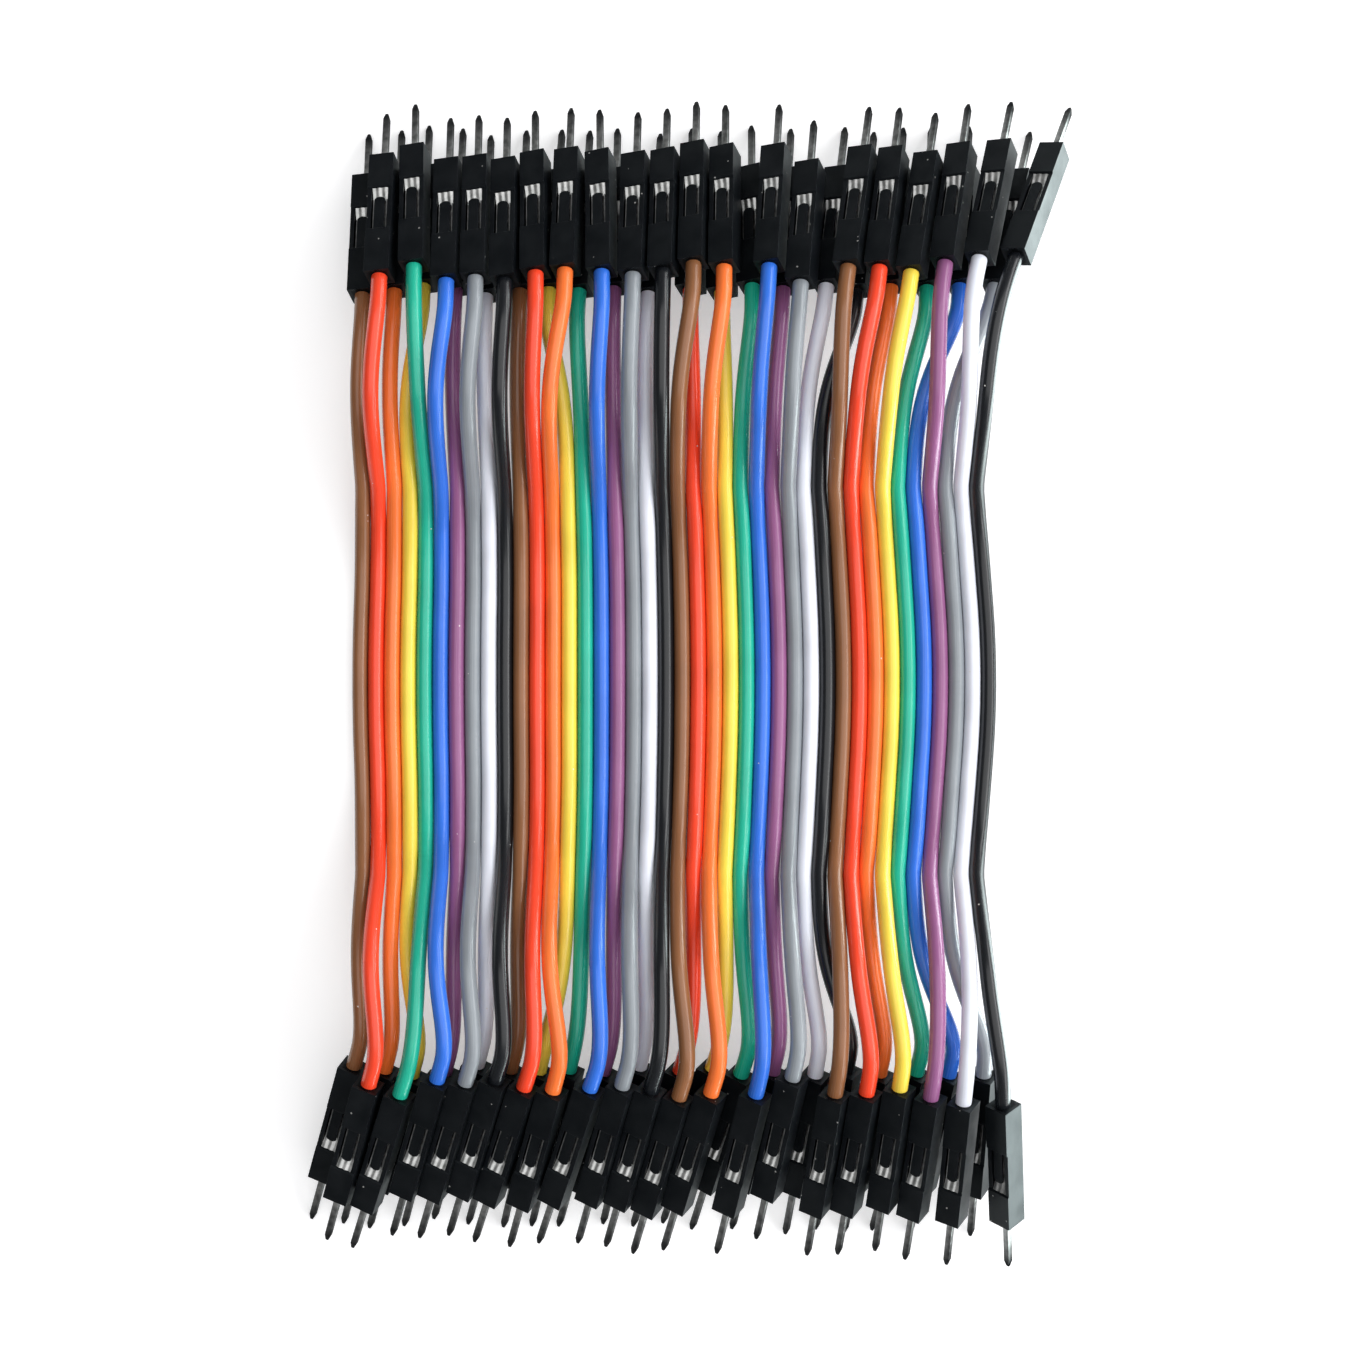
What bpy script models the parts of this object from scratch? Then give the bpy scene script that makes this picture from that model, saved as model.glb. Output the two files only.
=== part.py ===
"""Ribbon of forty bonded jumper wires with a male pin in a crimp housing at both ends.

The wires run along Y and lie side by side along X. Each one is bonded to its neighbours in
the middle and free towards both ends, where the housings lie in two rows, one on the other.
"""

import math

import bmesh
import bpy
from mathutils import Matrix, Vector

MM = 0.001

# Wire and ribbon
WIRE_COUNT = 40
WIRE_DIAMETER = 1.55 * MM
BOND_GAP = 0.05 * MM
BONDED_LENGTH = 39.4 * MM
MIDDLE_SPREAD = 0.045
MIDDLE_SHIFT = 0.50 * MM
WAIST_SHIFT = -0.60 * MM
LIFT_START = 8.0 * MM
ROWS_PART = 15.3 * MM
ROWS_CLEAR = 29.0 * MM
STRAIGHT_EXIT = 2.0 * MM
SWING_POWER = 4
RISE_POWER = 2
WIRE_INSERT = 4.2 * MM
FREE_STEPS = 5
WIRE_RESOLUTION = 2

# Terminal: a crimp barrel of thin sheet, a body behind the latch window and a square pin
SHEET = 0.12 * MM
CRIMP_CLEARANCE = 0.03 * MM
CRIMP_LENGTH = 3.2 * MM
PIN_WIDTH = 0.64 * MM
PIN_LENGTH = 5.8 * MM
PIN_TAPER = 0.7 * MM
TIP_WIDTH = 0.30 * MM
BODY_MARGIN = 0.22 * MM

# Crimp housing
HOUSING_LENGTH = 14.0 * MM
HOUSING_WALL = 0.315 * MM
TERMINAL_CLEARANCE = 0.03 * MM
NOSE_WALL = 0.9 * MM
PIN_HOLE_CLEARANCE = 0.05 * MM
WINDOW_LENGTH = 1.4 * MM
WINDOW_WIDTH = 1.66 * MM
WINDOW_FROM_NOSE = 4.05 * MM
LATCH_LENGTH = 3.5 * MM
LATCH_WIDTH = 1.06 * MM

# How the ends lie: the noses point down, and each housing is rolled about its length
NOSE_DOWN = math.radians(24)
ROLL_FIRST = math.radians(8)
ROLL_LAST = math.radians(30)
ROLL_OUTERMOST_TOP = math.radians(33)
ROLL_OUTERMOST_BOTTOM = math.radians(48)
SWEEP_ALLOWANCE = math.radians(18)
EXIT_DISTANCE = 40.4 * MM
ROW_STAGGER = 1.4 * MM
ROW_GAP = 0.40 * MM

# Where each row's middle lies across the ribbon, at the wire ends and at the noses
UPPER_TAILS = 1.9 * MM
UPPER_NOSES = 4.2 * MM
LOWER_TAILS = 0.25 * MM
LOWER_NOSES = 1.8 * MM
BOTTOM_TAIL_SHIFT = -1.0 * MM
BOTTOM_NOSE_SHIFT = -4.6 * MM

# Housings of each row by wire number: clear gap to the left neighbour at the wire end and at
# the nose, and how far the housing reaches out beyond the row, in millimetres, chosen by hand
UPPER_ROW = {
    2: (0.00, 0.00, -0.5),
    5: (0.70, 0.35, 0.6),
    6: (0.50, 0.80, -1.0),
    8: (0.16, 0.16, -0.7),
    10: (0.15, 0.16, -1.0),
    12: (0.30, 0.16, -0.2),
    13: (0.16, 0.70, 0.1),
    16: (0.85, 0.35, -0.1),
    18: (0.30, 0.90, -0.4),
    20: (0.16, 0.16, 0.0),
    21: (0.16, 0.16, 0.8),
    23: (0.20, 0.16, 0.4),
    26: (1.55, 2.30, 0.5),
    28: (0.35, 0.65, -1.3),
    31: (1.60, 2.30, 0.4),
    32: (0.16, 0.16, 0.3),
    34: (0.20, 0.60, -0.2),
    37: (0.20, 0.20, 0.8),
    39: (0.18, 0.90, 1.3),
    40: (0.20, 1.90, 1.5),
}
LOWER_ROW = {
    1: (0.00, 0.00, -0.4),
    3: (0.50, 0.65, 0.0),
    4: (0.15, 0.15, 0.5),
    7: (0.50, 0.70, 0.2),
    9: (0.30, 0.20, -0.5),
    11: (0.75, 0.90, 0.0),
    14: (0.15, 0.70, 0.1),
    15: (0.20, 0.15, 0.0),
    17: (0.70, 0.25, 0.2),
    19: (0.70, 1.40, -0.3),
    22: (1.40, 0.70, 0.2),
    24: (0.30, 0.20, -0.1),
    25: (0.16, 0.25, 0.5),
    27: (0.16, 0.90, 0.2),
    29: (1.40, 2.30, 0.5),
    30: (0.16, 0.15, 0.0),
    33: (0.40, 0.15, 0.4),
    35: (0.70, 0.15, 0.3),
    36: (0.25, 0.70, 0.5),
    38: (0.40, 2.40, 0.5),
}

# Wires whose housings and terminals are pieces of their own, up to the limit on files
SEPARATE_WIRES = (36, 37, 38, 39, 40)

# Colours repeat every ten wires, in the order of the common resistor code
WIRE_COLOURS = (
    ("brown", (0.25, 0.100, 0.036, 1.0)),
    ("red", (0.93, 0.055, 0.016, 1.0)),
    ("orange", (0.93, 0.18, 0.028, 1.0)),
    ("yellow", (0.95, 0.72, 0.06, 1.0)),
    ("green", (0.012, 0.45, 0.28, 1.0)),
    ("blue", (0.025, 0.155, 0.72, 1.0)),
    ("purple", (0.29, 0.092, 0.25, 1.0)),
    ("grey", (0.27, 0.295, 0.32, 1.0)),
    ("white", (0.80, 0.84, 0.93, 1.0)),
    ("black", (0.006, 0.0075, 0.010, 1.0)),
)
HOUSING_COLOUR = (0.012, 0.014, 0.017, 1.0)
TERMINAL_COLOUR = (0.62, 0.61, 0.58, 1.0)
WIRE_ROUGHNESS = 0.28
HOUSING_ROUGHNESS = 0.45
TERMINAL_ROUGHNESS = 0.25
PLASTIC = 0.0
METAL = 1.0

# Sizes that follow from the others
wire_radius = WIRE_DIAMETER / 2
ribbon_pitch = WIRE_DIAMETER + BOND_GAP
barrel_inner = WIRE_DIAMETER + 2 * CRIMP_CLEARANCE
barrel_outer = barrel_inner + 2 * SHEET
cavity_width = barrel_outer + 2 * TERMINAL_CLEARANCE
housing_width = cavity_width + 2 * HOUSING_WALL
cavity_end = HOUSING_LENGTH - NOSE_WALL
body_width = cavity_width - 2 * BODY_MARGIN
body_end = cavity_end - TERMINAL_CLEARANCE
crimp_end = WIRE_INSERT + CRIMP_CLEARANCE
window_end = HOUSING_LENGTH - WINDOW_FROM_NOSE
window_start = window_end - WINDOW_LENGTH
latch_start = window_start - LATCH_LENGTH


def clear_scene():
    for item in list(bpy.data.objects):
        bpy.data.objects.remove(item, do_unlink=True)


def make_material(name, colour, roughness, metallic):
    material = bpy.data.materials.new(name)
    material.use_nodes = True
    shader = material.node_tree.nodes["Principled BSDF"]
    shader.inputs["Base Color"].default_value = colour
    shader.inputs["Roughness"].default_value = roughness
    shader.inputs["Metallic"].default_value = metallic
    material.diffuse_color = colour
    return material


def add_object(name, data):
    item = bpy.data.objects.new(name, data)
    bpy.context.scene.collection.objects.link(item)
    return item


def roll_angle(number, end):
    if number == WIRE_COUNT:
        return ROLL_OUTERMOST_TOP if end > 0 else ROLL_OUTERMOST_BOTTOM
    share = (number - 1) / (WIRE_COUNT - 1)
    return ROLL_FIRST + (ROLL_LAST - ROLL_FIRST) * share


def footprint(number, end):
    """Room that one rolled housing takes across its row."""
    return housing_width / (math.cos(roll_angle(number, end)) * math.cos(SWEEP_ALLOWANCE))


def row_places(row, gap_column, middle, end):
    """Places across the ribbon of the housings of a row, laid side by side from the left."""
    numbers = list(row)
    places = [0.0]
    for before, number in zip(numbers, numbers[1:]):
        room = (footprint(before, end) + footprint(number, end)) / 2
        step = room + row[number][gap_column] * MM
        places.append(places[-1] + step)
    offset = middle - places[-1] / 2
    return {number: place + offset for number, place in zip(numbers, places)}


def corner_height(width, roll):
    """How far the lowest corner of a rolled square bar lies below its middle."""
    return width / 2 * (math.cos(roll) + math.sin(roll))


def lower_nose_height(number, end):
    """Height of a lower housing's nose when its pin's tip touches the floor."""
    tip = corner_height(PIN_WIDTH, roll_angle(number, end)) * math.cos(NOSE_DOWN)
    return PIN_LENGTH * math.sin(NOSE_DOWN) + tip


def row_rise(number, end):
    """How much higher an upper housing lies than a lower one at the same place in its row."""
    stack = 2 * corner_height(housing_width, roll_angle(number, end)) + ROW_GAP
    return stack / math.cos(NOSE_DOWN) - ROW_STAGGER * math.tan(NOSE_DOWN)


def housing_places(row, upper, tails, noses, end):
    """Matrix of each housing of a row: origin at its wire end, +Y to the nose, +Z the latch."""
    shift_tail = BOTTOM_TAIL_SHIFT if end < 0 else 0.0
    shift_nose = BOTTOM_NOSE_SHIFT if end < 0 else 0.0
    tail_places = row_places(row, 0, tails + shift_tail, end)
    nose_places = row_places(row, 1, noses + shift_nose, end)
    run = HOUSING_LENGTH * math.cos(NOSE_DOWN)
    drop = HOUSING_LENGTH * math.sin(NOSE_DOWN)
    distance = EXIT_DISTANCE - (0.0 if upper else ROW_STAGGER)
    matrices = {}
    for number, (_, _, reach_mm) in row.items():
        height = lower_nose_height(number, end) + drop
        height += row_rise(number, end) if upper else 0.0
        lean = nose_places[number] - tail_places[number]
        forward = Vector((lean, end * math.sqrt(run ** 2 - lean ** 2), -drop)).normalized()
        slide = forward * (reach_mm * MM / abs(forward.y))
        if not upper:
            slide.z = 0.0
        tail = Vector((tail_places[number], end * distance, height))
        matrices[number] = housing_matrix(tail + slide, forward, roll_angle(number, end))
    return matrices


def housing_matrix(tail, forward, roll):
    across = forward.cross(Vector((0, 0, 1))).normalized()
    if across.x < 0:
        across.negate()
    upward = across.cross(forward)
    if upward.z < 0:
        upward.negate()
    latch = upward * math.cos(roll) - across * math.sin(roll)
    side = forward.cross(latch)
    matrix = Matrix((side, forward, latch)).transposed().to_4x4()
    matrix.translation = tail
    return matrix


def end_places(end):
    places = housing_places(UPPER_ROW, True, UPPER_TAILS, UPPER_NOSES, end)
    places.update(housing_places(LOWER_ROW, False, LOWER_TAILS, LOWER_NOSES, end))
    return places


def ease(share, height, end_slope, power):
    """Curve that leaves zero level and ends at a height with a given slope.

    The higher its power, the later it rises.
    """
    early = share ** power
    late = share ** (power + 1)
    return height * ((power + 1) * early - power * late) + end_slope * (late - early)


def wire_half(number, matrix, end):
    """Points of one wire from the middle of the ribbon to its end inside the housing."""
    forward = matrix.to_3x3() @ Vector((0, 1, 0))
    leave = matrix.translation - forward * STRAIGHT_EXIT
    split = BONDED_LENGTH / 2
    reach = abs(leave.y)
    place = (number - (WIRE_COUNT + 1) / 2) * ribbon_pitch + WAIST_SHIFT
    extra = row_rise(number, end) if number in UPPER_ROW else 0.0
    side_slope = forward.x / abs(forward.y)
    down_slope = forward.z / abs(forward.y)

    def route(distance):
        bow = max(0.0, 1 - (distance / split) ** 2)
        across = place * (1 + MIDDLE_SPREAD * bow) + MIDDLE_SHIFT * bow
        if distance > split:
            free = reach - split
            share = (distance - split) / free
            across += ease(share, leave.x - place, side_slope * free, SWING_POWER)
        height = wire_radius
        if distance > LIFT_START:
            run = reach - LIFT_START
            common = leave.z - wire_radius - extra
            share = (distance - LIFT_START) / run
            height += ease(share, common, down_slope * run, RISE_POWER)
        if distance > ROWS_PART:
            share = min(1.0, (distance - ROWS_PART) / (ROWS_CLEAR - ROWS_PART))
            height += ease(share, extra, 0.0, RISE_POWER)
        return Vector((across, end * distance, height))

    stations = [LIFT_START, (LIFT_START + ROWS_PART) / 2]
    stations += [ROWS_PART + (reach - ROWS_PART) * k / FREE_STEPS for k in range(FREE_STEPS)]
    points = [route(distance) for distance in stations]
    points += [leave, matrix @ Vector((0, WIRE_INSERT, 0))]
    return route(0.0), points


def wire_points(number, top, bottom):
    middle, towards_top = wire_half(number, top, 1)
    _, towards_bottom = wire_half(number, bottom, -1)
    return towards_bottom[::-1] + [middle] + towards_top


def wire_curve(name, points):
    curve = bpy.data.curves.new(name, "CURVE")
    curve.dimensions = "3D"
    curve.bevel_depth = wire_radius
    curve.bevel_resolution = WIRE_RESOLUTION
    curve.use_fill_caps = True
    spline = curve.splines.new("POLY")
    spline.points.add(len(points) - 1)
    for target, point in zip(spline.points, points):
        target.co = (*point, 1.0)
    return add_object(name, curve)


def box_mesh(name, low, high):
    shape = bmesh.new()
    bmesh.ops.create_cube(shape, size=1.0)
    size = Vector(high) - Vector(low)
    middle = (Vector(high) + Vector(low)) / 2
    bmesh.ops.scale(shape, vec=size, verts=shape.verts)
    bmesh.ops.translate(shape, vec=middle, verts=shape.verts)
    return mesh_from(shape, name)


def mesh_from(shape, name):
    bmesh.ops.recalc_face_normals(shape, faces=shape.faces)
    mesh = bpy.data.meshes.new(name)
    shape.to_mesh(mesh)
    shape.free()
    return mesh


def square_bar(name, width, start, end):
    half = width / 2
    return box_mesh(name, (-half, start, -half), (half, end, half))


def pin_mesh(name, start):
    """Square pin that tapers to a blunt tip."""
    tip = HOUSING_LENGTH + PIN_LENGTH
    shape = bmesh.new()
    shape.from_mesh(square_bar(name, PIN_WIDTH, start, tip - PIN_TAPER))
    front = max(shape.faces, key=lambda face: face.calc_center_median().y)
    ring = bmesh.ops.extrude_discrete_faces(shape, faces=[front])["faces"][0]
    bmesh.ops.translate(shape, vec=(0, PIN_TAPER, 0), verts=ring.verts)
    ratio = TIP_WIDTH / PIN_WIDTH
    bmesh.ops.scale(shape, vec=(ratio, 1, ratio), verts=ring.verts)
    return mesh_from(shape, name)


def latch_cutter_mesh(name, depth):
    """Window with a slot down each side of the latch finger, cut from the latch face."""
    outer = WINDOW_WIDTH / 2
    inner = LATCH_WIDTH / 2
    outline = (
        (-outer, latch_start), (-inner, latch_start), (-inner, window_start),
        (inner, window_start), (inner, latch_start), (outer, latch_start),
        (outer, window_end), (-outer, window_end),
    )
    top = housing_width / 2 + HOUSING_WALL
    shape = bmesh.new()
    corners = [shape.verts.new((x, y, top)) for x, y in outline]
    face = shape.faces.new(corners)
    grown = bmesh.ops.extrude_face_region(shape, geom=[face])["geom"]
    moved = [item for item in grown if isinstance(item, bmesh.types.BMVert)]
    bmesh.ops.translate(shape, vec=(0, 0, -HOUSING_WALL - depth), verts=moved)
    return mesh_from(shape, name)


def combine(base_mesh, other_mesh, operation):
    """Mesh that remains after one exact Boolean of two meshes."""
    base = add_object("base", base_mesh)
    other = add_object("other", other_mesh)
    modifier = base.modifiers.new("cut", "BOOLEAN")
    modifier.operation = operation
    modifier.solver = "EXACT"
    modifier.object = other
    if operation == "UNION":
        modifier.material_mode = "TRANSFER"
    graph = bpy.context.evaluated_depsgraph_get()
    result = bpy.data.meshes.new_from_object(base.evaluated_get(graph), depsgraph=graph)
    bpy.data.objects.remove(base, do_unlink=True)
    bpy.data.objects.remove(other, do_unlink=True)
    return result


def hollow_housing():
    """Housing with its cavity, pin hole, latch window and the slots beside the latch."""
    mesh = square_bar("housing", housing_width, 0.0, HOUSING_LENGTH)
    cavity = square_bar("cavity", cavity_width, -NOSE_WALL, cavity_end)
    mesh = combine(mesh, cavity, "DIFFERENCE")
    hole_width = PIN_WIDTH + 2 * PIN_HOLE_CLEARANCE
    hole = square_bar("pin hole", hole_width, cavity_end - NOSE_WALL, HOUSING_LENGTH + NOSE_WALL)
    mesh = combine(mesh, hole, "DIFFERENCE")
    depth = HOUSING_WALL + TERMINAL_CLEARANCE
    return combine(mesh, latch_cutter_mesh("latch", depth), "DIFFERENCE")


def terminal():
    """Crimp barrel open towards the latch, a square body and the pin, in one piece."""
    barrel = square_bar("barrel", barrel_outer, crimp_end - CRIMP_LENGTH, crimp_end + SHEET)
    half = barrel_inner / 2
    bore = box_mesh(
        "bore",
        (-half, crimp_end - 2 * CRIMP_LENGTH, -half),
        (half, crimp_end, barrel_outer),
    )
    mesh = combine(barrel, bore, "DIFFERENCE")
    mesh = combine(mesh, square_bar("body", body_width, crimp_end + SHEET / 2, body_end), "UNION")
    return combine(mesh, pin_mesh("pin", body_end - PIN_WIDTH), "UNION")


def solid_end(housing_material, terminal_material):
    """Housing with its terminal and pin as one solid, for the wires built in one piece."""
    mesh = square_bar("end", housing_width, 0.0, HOUSING_LENGTH)
    mesh = combine(mesh, latch_cutter_mesh("latch", HOUSING_WALL), "DIFFERENCE")
    mesh.materials.append(housing_material)
    pin = pin_mesh("pin", HOUSING_LENGTH - NOSE_WALL)
    pin.materials.append(terminal_material)
    return combine(mesh, pin, "UNION")


def placed_copy(mesh, matrix):
    copy = mesh.copy()
    copy.transform(matrix)
    return copy


def joined_jumper(name, points, end_mesh, top, bottom, material):
    """Wire and both its ends as one solid."""
    curve = wire_curve(name + "_route", points)
    graph = bpy.context.evaluated_depsgraph_get()
    mesh = bpy.data.meshes.new_from_object(curve.evaluated_get(graph), depsgraph=graph)
    bpy.data.objects.remove(curve, do_unlink=True)
    mesh.materials.clear()
    mesh.materials.append(material)
    for matrix in (top, bottom):
        mesh = combine(mesh, placed_copy(end_mesh, matrix), "UNION")
    return add_object(name, mesh)


def separate_jumper(number, points, housing_mesh, terminal_mesh, top, bottom, material):
    """Wire, two housings and two terminals, each its own object."""
    wire = wire_curve(f"wire_{number:02d}", points)
    wire.data.materials.append(material)
    items = [wire]
    for end_name, matrix in (("top", top), ("bottom", bottom)):
        for kind, mesh in (("housing", housing_mesh), ("terminal", terminal_mesh)):
            item = add_object(f"{kind}_{number:02d}_{end_name}", mesh)
            item.matrix_world = matrix
            items.append(item)
    return items


def centre_on_floor(items):
    """Move everything so that the origin is under the middle of the part's box."""
    bpy.context.view_layer.update()
    graph = bpy.context.evaluated_depsgraph_get()
    points = []
    for item in items:
        solid = item.evaluated_get(graph)
        mesh = solid.to_mesh()
        points += [item.matrix_world @ vertex.co for vertex in mesh.vertices]
        solid.to_mesh_clear()
    low = [min(point[axis] for point in points) for axis in range(3)]
    high = [max(point[axis] for point in points) for axis in range(3)]
    shift = Vector((-(low[0] + high[0]) / 2, -(low[1] + high[1]) / 2, -low[2]))
    for item in items:
        item.matrix_world = Matrix.Translation(shift) @ item.matrix_world
    return shift


def build():
    clear_scene()
    plastic = make_material("housing_black", HOUSING_COLOUR, HOUSING_ROUGHNESS, PLASTIC)
    metal = make_material("terminal_metal", TERMINAL_COLOUR, TERMINAL_ROUGHNESS, METAL)
    wires = []
    for name, colour in WIRE_COLOURS:
        wires.append(make_material(f"wire_{name}", colour, WIRE_ROUGHNESS, PLASTIC))
    tops = end_places(1)
    bottoms = end_places(-1)
    end_mesh = solid_end(plastic, metal)
    housing_mesh = hollow_housing()
    housing_mesh.materials.append(plastic)
    terminal_mesh = terminal()
    terminal_mesh.materials.append(metal)
    items = []
    for number in range(1, WIRE_COUNT + 1):
        top = tops[number]
        bottom = bottoms[number]
        points = wire_points(number, top, bottom)
        material = wires[(number - 1) % len(wires)]
        if number in SEPARATE_WIRES:
            parts = (housing_mesh, terminal_mesh)
            items += separate_jumper(number, points, *parts, top, bottom, material)
        else:
            name = f"jumper_{number:02d}"
            items.append(joined_jumper(name, points, end_mesh, top, bottom, material))
    return centre_on_floor(items)


build()
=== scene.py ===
"""Looks of a bonded jumper wire ribbon: insulation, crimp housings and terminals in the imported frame."""

import math

import bmesh
import bpy
from mathutils import Matrix, Vector


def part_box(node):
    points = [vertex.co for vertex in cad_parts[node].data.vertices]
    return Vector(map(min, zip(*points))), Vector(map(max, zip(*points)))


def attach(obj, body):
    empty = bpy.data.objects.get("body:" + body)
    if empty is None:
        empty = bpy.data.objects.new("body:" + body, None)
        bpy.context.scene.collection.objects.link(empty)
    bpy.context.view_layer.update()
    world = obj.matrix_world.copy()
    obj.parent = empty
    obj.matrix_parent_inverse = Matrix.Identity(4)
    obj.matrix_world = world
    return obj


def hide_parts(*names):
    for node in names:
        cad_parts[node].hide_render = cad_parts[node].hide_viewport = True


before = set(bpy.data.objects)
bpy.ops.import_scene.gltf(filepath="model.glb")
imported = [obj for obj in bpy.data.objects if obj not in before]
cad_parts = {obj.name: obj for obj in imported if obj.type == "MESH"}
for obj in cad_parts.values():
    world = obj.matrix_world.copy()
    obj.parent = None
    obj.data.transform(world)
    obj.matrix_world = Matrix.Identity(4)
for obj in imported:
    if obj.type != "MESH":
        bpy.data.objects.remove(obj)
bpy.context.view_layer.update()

MM = 0.001
BODY = "root"
TOUCH = 0.001 * MM

# Wire and ribbon, as the part has them
WIRE_COUNT = 40
WIRE_DIAMETER = 1.55 * MM
BOND_GAP = 0.05 * MM
BONDED_LENGTH = 39.4 * MM
MIDDLE_SPREAD = 0.045
MIDDLE_SHIFT = 0.50 * MM
WAIST_SHIFT = -0.60 * MM
LIFT_START = 8.0 * MM
ROWS_PART = 15.3 * MM
ROWS_CLEAR = 29.0 * MM
STRAIGHT_EXIT = 2.0 * MM
SWING_POWER = 4
RISE_POWER = 2
WIRE_INSERT = 4.2 * MM

# Terminal and crimp housing, as the part has them
SHEET = 0.12 * MM
CRIMP_CLEARANCE = 0.03 * MM
PIN_WIDTH = 0.64 * MM
PIN_LENGTH = 5.8 * MM
PIN_TAPER = 0.7 * MM
TIP_WIDTH = 0.30 * MM
BODY_MARGIN = 0.22 * MM
HOUSING_LENGTH = 14.0 * MM
HOUSING_WALL = 0.315 * MM
TERMINAL_CLEARANCE = 0.03 * MM
NOSE_WALL = 0.9 * MM
PIN_HOLE_CLEARANCE = 0.05 * MM
WINDOW_LENGTH = 1.4 * MM
WINDOW_WIDTH = 1.66 * MM
WINDOW_FROM_NOSE = 4.05 * MM
LATCH_LENGTH = 3.5 * MM
LATCH_WIDTH = 1.06 * MM

# How the ends lie, as the part has them
NOSE_DOWN = math.radians(24)
ROLL_FIRST = math.radians(8)
ROLL_LAST = math.radians(30)
ROLL_OUTERMOST_TOP = math.radians(33)
ROLL_OUTERMOST_BOTTOM = math.radians(48)
SWEEP_ALLOWANCE = math.radians(18)
EXIT_DISTANCE = 40.4 * MM
ROW_STAGGER = 1.4 * MM
ROW_GAP = 0.40 * MM
UPPER_TAILS = 1.9 * MM
UPPER_NOSES = 4.2 * MM
LOWER_TAILS = 0.25 * MM
LOWER_NOSES = 1.8 * MM
BOTTOM_TAIL_SHIFT = -1.0 * MM
BOTTOM_NOSE_SHIFT = -4.6 * MM

# Housings of each row by wire number: clear gap to the left neighbour at the wire end and at
# the nose, and how far the housing reaches out beyond the row, in millimetres
UPPER_ROW = {
    2: (0.00, 0.00, -0.5),
    5: (0.70, 0.35, 0.6),
    6: (0.50, 0.80, -1.0),
    8: (0.16, 0.16, -0.7),
    10: (0.15, 0.16, -1.0),
    12: (0.30, 0.16, -0.2),
    13: (0.16, 0.70, 0.1),
    16: (0.85, 0.35, -0.1),
    18: (0.30, 0.90, -0.4),
    20: (0.16, 0.16, 0.0),
    21: (0.16, 0.16, 0.8),
    23: (0.20, 0.16, 0.4),
    26: (1.55, 2.30, 0.5),
    28: (0.35, 0.65, -1.3),
    31: (1.60, 2.30, 0.4),
    32: (0.16, 0.16, 0.3),
    34: (0.20, 0.60, -0.2),
    37: (0.20, 0.20, 0.8),
    39: (0.18, 0.90, 1.3),
    40: (0.20, 1.90, 1.5),
}
LOWER_ROW = {
    1: (0.00, 0.00, -0.4),
    3: (0.50, 0.65, 0.0),
    4: (0.15, 0.15, 0.5),
    7: (0.50, 0.70, 0.2),
    9: (0.30, 0.20, -0.5),
    11: (0.75, 0.90, 0.0),
    14: (0.15, 0.70, 0.1),
    15: (0.20, 0.15, 0.0),
    17: (0.70, 0.25, 0.2),
    19: (0.70, 1.40, -0.3),
    22: (1.40, 0.70, 0.2),
    24: (0.30, 0.20, -0.1),
    25: (0.16, 0.25, 0.5),
    27: (0.16, 0.90, 0.2),
    29: (1.40, 2.30, 0.5),
    30: (0.16, 0.15, 0.0),
    33: (0.40, 0.15, 0.4),
    35: (0.70, 0.15, 0.3),
    36: (0.25, 0.70, 0.5),
    38: (0.40, 2.40, 0.5),
}

# Wires whose housings and terminals are nodes of their own in the part
SEPARATE_WIRES = (36, 37, 38, 39, 40)

# Colours of the insulation, which repeat every ten wires
WIRE_COLOURS = {
    "brown": (0.26, 0.108, 0.044),
    "red": (0.93, 0.064, 0.022),
    "orange": (0.93, 0.185, 0.035),
    "yellow": (0.92, 0.68, 0.075),
    "green": (0.014, 0.44, 0.29),
    "blue": (0.032, 0.165, 0.72),
    "purple": (0.29, 0.102, 0.245),
    "grey": (0.255, 0.28, 0.305),
    "white": (0.80, 0.83, 0.92),
    "black": (0.006, 0.0075, 0.010),
}

# Sizes that follow from the others
wire_radius = WIRE_DIAMETER / 2
ribbon_pitch = WIRE_DIAMETER + BOND_GAP
barrel_outer = WIRE_DIAMETER + 2 * CRIMP_CLEARANCE + 2 * SHEET
cavity_width = barrel_outer + 2 * TERMINAL_CLEARANCE
housing_width = cavity_width + 2 * HOUSING_WALL
cavity_end = HOUSING_LENGTH - NOSE_WALL
body_width = cavity_width - 2 * BODY_MARGIN
window_end = HOUSING_LENGTH - WINDOW_FROM_NOSE
window_start = window_end - WINDOW_LENGTH
latch_start = window_start - LATCH_LENGTH

# Fine shape that the part leaves out
PATH_STEP = 0.8 * MM
EXIT_STEPS = 8
WIRE_SIDES = 20
BOND_OVERLAP = 0.01 * MM
TORN_RIDGE = 0.035 * MM
TEAR_FADE = 2.5 * MM
FACE_RECESS = 0.14 * MM
RECESS_SLOPE = 0.10 * MM
TONGUE_ROUND = 0.70 * MM
HOUSING_EDGE = 0.06 * MM
NECK_START = 4.6 * MM
NECK_WIDTH = 0.80 * MM
RAMP_FOOT = 0.62 * MM
RAMP_HEAD = 1.10 * MM
RAMP_CLEARANCE = 0.05 * MM
RIDGES = 2.5
RIDGE_STEPS = 30
RIDGE_HEIGHT = 0.05 * MM
RAIL_MIDDLE = 0.66 * MM
RAIL_WIDTH = 0.14 * MM
RAIL_TOP = 0.88 * MM
RAIL_EDGE = 0.05 * MM
# Share of the dark tone of painted shade on the terminal behind the window, where the slots beside the
# latch lie in shade
RAIL_PAINTED_SHADE = 0.6
PIN_EDGE = 0.07 * MM
WING_START = 0.9 * MM
WING_LENGTH = 2.3 * MM
WING_OPEN = math.radians(50)
WING_SIDES = 20

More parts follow.
